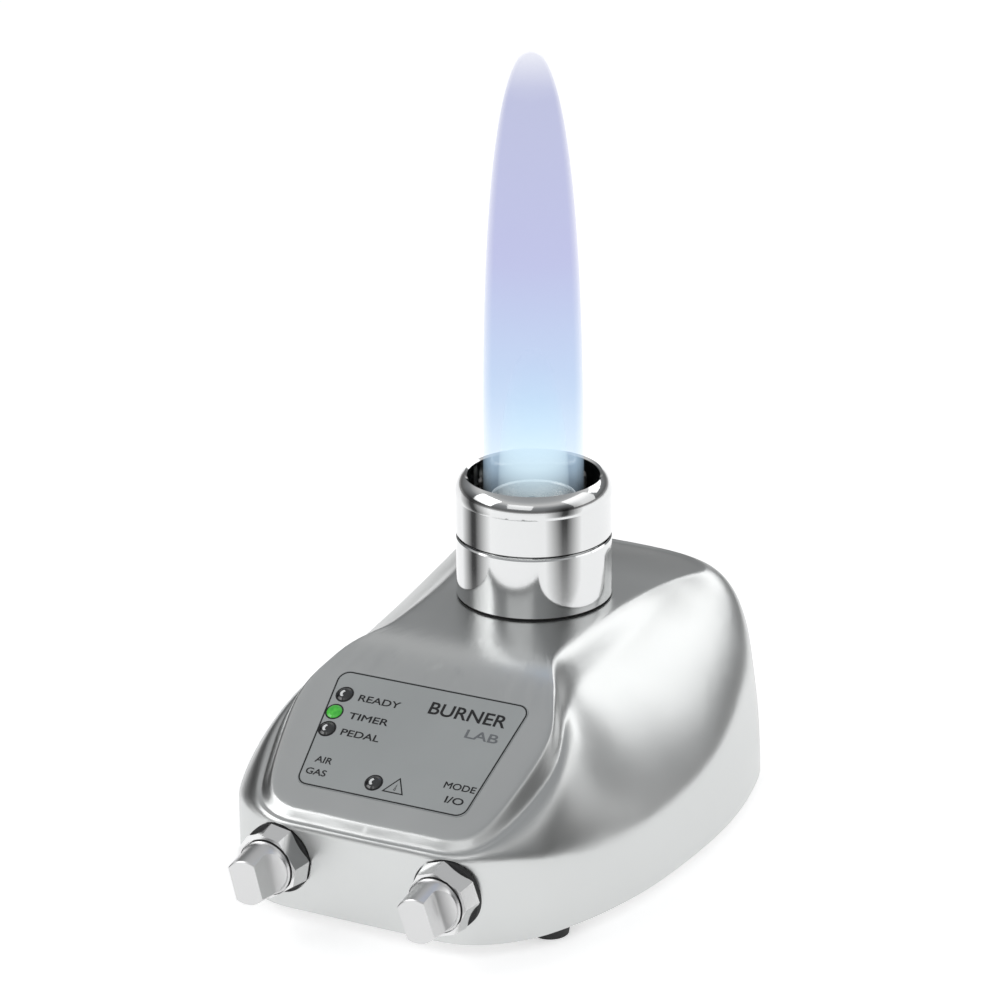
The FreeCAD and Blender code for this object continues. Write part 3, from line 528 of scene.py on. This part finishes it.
def flame_body(name, radius, foot, tip, bulge, material):
    """Turned teardrop, open at the foot and closed at the tip; bulge sets how late it narrows."""
    bm = bmesh.new()
    around, along = 96, 60
    rings = []
    for j in range(along):
        t = 1 - j / along
        r = radius * (1 - (1 - t) ** bulge) ** 0.45
        z = foot + (tip - foot) * (1 - t)
        angles = (2 * math.pi * i / around for i in range(around))
        rings.append([bm.verts.new((r * math.cos(a), r * math.sin(a), z)) for a in angles])
    top = bm.verts.new((0, 0, tip))
    for lower, upper in zip(rings, rings[1:]):
        for i in range(around):
            k = (i + 1) % around
            bm.faces.new((lower[i], lower[k], upper[k], upper[i]))
    for i in range(around):
        bm.faces.new((rings[-1][i], rings[-1][(i + 1) % around], top))
    for face in bm.faces:
        face.smooth = True
    mesh = mesh_of(bm, name)
    mesh.transform(Matrix.Translation(BURNER))
    mesh.materials.append(material)
    flame = bpy.data.objects.new(name, mesh)
    bpy.context.collection.objects.link(flame)
    flame.visible_shadow = False
    flame.visible_diffuse = False


def make_flame():
    outer = flame_material("flame_veil", [
        (0.0, (0.60, 0.76, 0.90, 0.0)), (0.08, (0.50, 0.68, 0.86, 0.40)), (0.25, (0.42, 0.56, 0.78, 0.62)),
        (0.55, (0.42, 0.44, 0.68, 0.70)), (0.90, (0.40, 0.42, 0.62, 0.66)), (1.0, (0.48, 0.50, 0.66, 0.20))],
        1.15, 0.45)
    inner = flame_material("flame_core", [
        (0.0, (0.80, 0.95, 1.0, 0.05)), (0.25, (0.80, 0.97, 1.0, 0.70)), (0.55, (0.66, 0.88, 0.96, 0.55)),
        (1.0, (0.5, 0.66, 0.85, 0.0))], 1.15, 0.0)
    mouth = HEAD_HIGH.z
    foot = mouth - 5 * MM
    flame_body("flame_outer", 11.6 * MM, foot, mouth + 99.5 * MM, 2.6, outer)
    flame_body("flame_inner", 8.2 * MM, foot, mouth + 30 * MM, 1.8, inner)


make_flame()


# ---------------------------------------------------------------- floor, cards and light
LIGHT_AIM = Vector((0, 0, 0.03))
CARD_AIM = BURNER + Vector((0, 0, 0.04))


def make_floor():
    bm = bmesh.new()
    bmesh.ops.create_grid(bm, x_segments=8, y_segments=8, size=4.0)
    mesh = mesh_of(bm, "floor")
    material = surface("floor_paper", (0.93, 0.93, 0.93), 0.004, (0.6, 0.7), 400.0, 0.000005,
                       Emission_Color=(1, 1, 1, 1), Emission_Strength=0.48)
    mesh.materials.append(material)
    floor = bpy.data.objects.new("floor", mesh)
    bpy.context.collection.objects.link(floor)


def dark_card(name, centre, size):
    """Upright dark studio card with soft sides, seen only in reflections, that faces the burner."""
    bm = bmesh.new()
    bmesh.ops.create_grid(bm, x_segments=1, y_segments=1, size=0.5)
    mesh = mesh_of(bm, name)
    material = bpy.data.materials.new(name)
    material.use_nodes = True
    tree = material.node_tree
    tree.nodes.clear()
    nodes = Nodes(tree)
    place = nodes.add("ShaderNodeTexCoord").outputs["Generated"]
    parts = nodes.add("ShaderNodeSeparateXYZ", {0: place})
    fades = []
    for axis, solid in (("X", 0.05), ("Y", 0.15)):
        offset = nodes.add("ShaderNodeMath", {0: parts.outputs[axis], 1: 0.5}, operation="SUBTRACT")
        distance = nodes.add("ShaderNodeMath", {0: offset.outputs[0]}, operation="ABSOLUTE")
        fades.append(nodes.ramp(distance.outputs[0], 0.97, 0.0, solid, 0.5))
    density = nodes.add("ShaderNodeMath", {0: fades[0], 1: fades[1]}, operation="MULTIPLY")
    dark = nodes.add("ShaderNodeEmission", {"Color": (0, 0, 0, 1), "Strength": 0.0})
    clear = nodes.add("ShaderNodeBsdfTransparent")
    inputs = {0: density.outputs[0], 1: clear.outputs[0], 2: dark.outputs[0]}
    mixed = nodes.add("ShaderNodeMixShader", inputs)
    nodes.add("ShaderNodeOutputMaterial", {"Surface": mixed.outputs[0]})
    mesh.materials.append(material)
    plane = bpy.data.objects.new(name, mesh)
    bpy.context.collection.objects.link(plane)
    facing = (CARD_AIM - Vector(centre)).to_track_quat("Z", "Y")
    plane.matrix_world = (Matrix.Translation(centre) @ facing.to_matrix().to_4x4()
                          @ Matrix.Diagonal((*size, 1, 1)))
    plane.visible_camera = False
    plane.visible_diffuse = False
    plane.visible_shadow = False


def softbox(name, centre, size, power):
    """Rectangular area light that faces the middle of the housing."""
    data = bpy.data.lights.new(name, "AREA")
    data.shape = "RECTANGLE"
    data.size, data.size_y = size
    data.energy = power
    light = bpy.data.objects.new(name, data)
    bpy.context.collection.objects.link(light)
    light.location = centre
    light.rotation_euler = (LIGHT_AIM - Vector(centre)).to_track_quat("-Z", "Y").to_euler()


def make_world():
    world = bpy.data.worlds.new("studio")
    bpy.context.scene.world = world
    world.use_nodes = True
    nodes = Nodes(world.node_tree)
    background = world.node_tree.nodes["Background"]
    direction = nodes.add("ShaderNodeTexCoord").outputs["Generated"]
    height = nodes.add("ShaderNodeSeparateXYZ", {0: direction}).outputs["Z"]
    sky = nodes.colours(height, [(0.0, (0.50, 0.50, 0.50)), (0.12, (0.16, 0.16, 0.16)),
                                 (0.45, (0.32, 0.33, 0.34)), (0.68, (0.80, 0.80, 0.80)),
                                 (0.86, (0.50, 0.51, 0.52)), (1.0, (0.42, 0.43, 0.44))])
    nodes.feed(sky, background.inputs["Color"])
    background.inputs["Strength"].default_value = 0.9


make_floor()
make_world()
softbox("key", (-0.80, -0.55, 0.62), (0.70, 0.70), 3.2)
softbox("back", (0.25, 0.85, 0.60), (0.9, 0.35), 1.5)
softbox("side", (0.95, 0.30, 0.62), (0.9, 0.9), 1.9)
softbox("fill", (0.10, -1.10, 0.70), (0.8, 0.5), 0.9)
dark_card("card_left", (-0.115, -0.03, 0.045), (0.15, 0.20))
dark_card("card_right", (0.13, -0.03, 0.055), (0.15, 0.20))
bpy.context.scene.view_settings.view_transform = "Standard"
